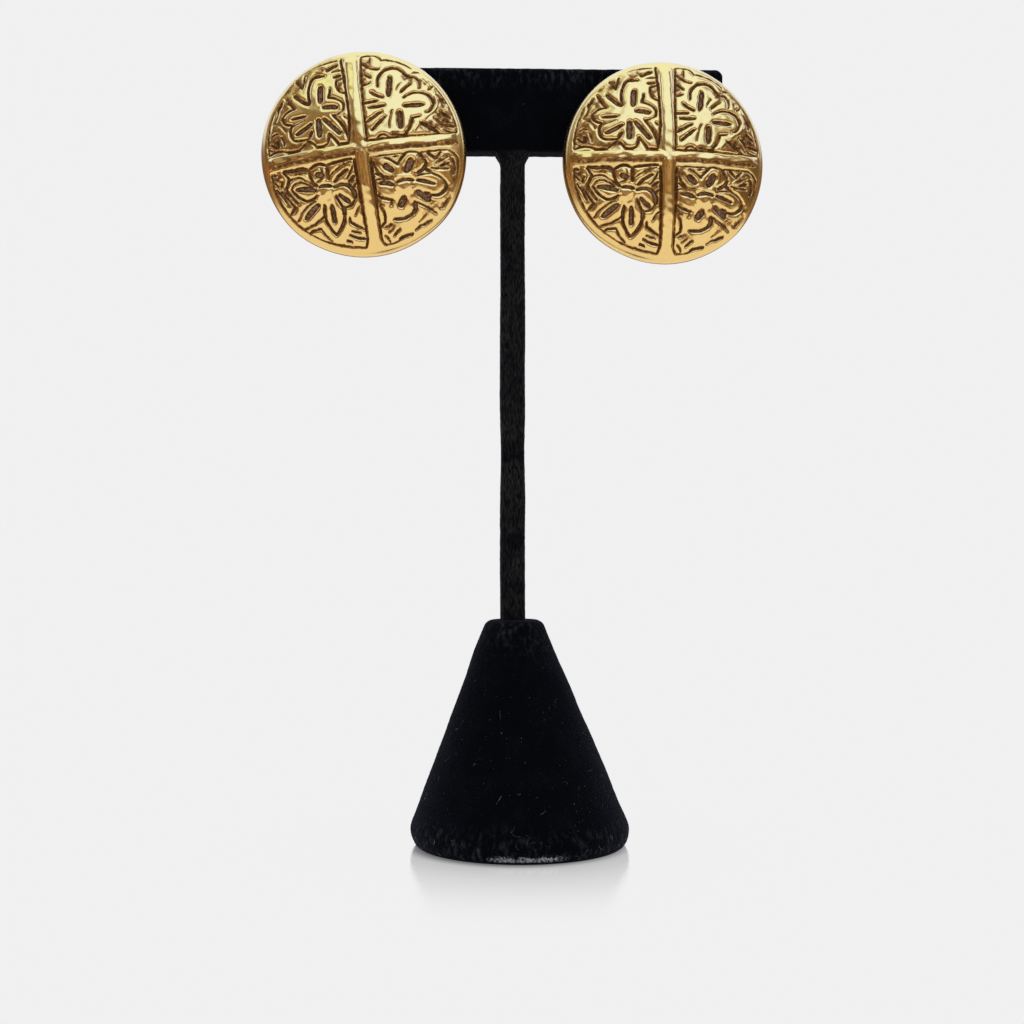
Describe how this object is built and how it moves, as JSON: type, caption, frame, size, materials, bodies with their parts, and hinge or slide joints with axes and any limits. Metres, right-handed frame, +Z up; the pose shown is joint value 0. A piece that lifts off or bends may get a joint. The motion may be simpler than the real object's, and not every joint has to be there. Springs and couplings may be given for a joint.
{
  "type": "pair of clip-on dome earrings on a velvet t-bar display stand",
  "caption": "Round domed clip-on earrings, a rib cross over panels of floral relief, clipped to the bar of a velvet stand with a cone base.",
  "frame": {"origin": "middle of the stand's flat underside", "axes": "+Z up along the stand, -Y the way the earrings face, +X to the viewer's right along the crossbar"},
  "size_m": [0.0825, 0.0364, 0.1305],
  "materials": {
    "velvet": "short-pile black velvet with a little lint",
    "antiqued_gold": "polished gold tone with dark antiquing in the grooves",
    "plain_gold": "plain polished gold tone"
  },
  "bodies": {
    "root": {"stand_base": "velvet", "stand_post": "velvet", "stand_crossbar": "velvet", "disc_left": "antiqued_gold", "disc_right": "antiqued_gold", "clip_left": "plain_gold", "clip_right": "plain_gold"}
  },
  "joints": []
}
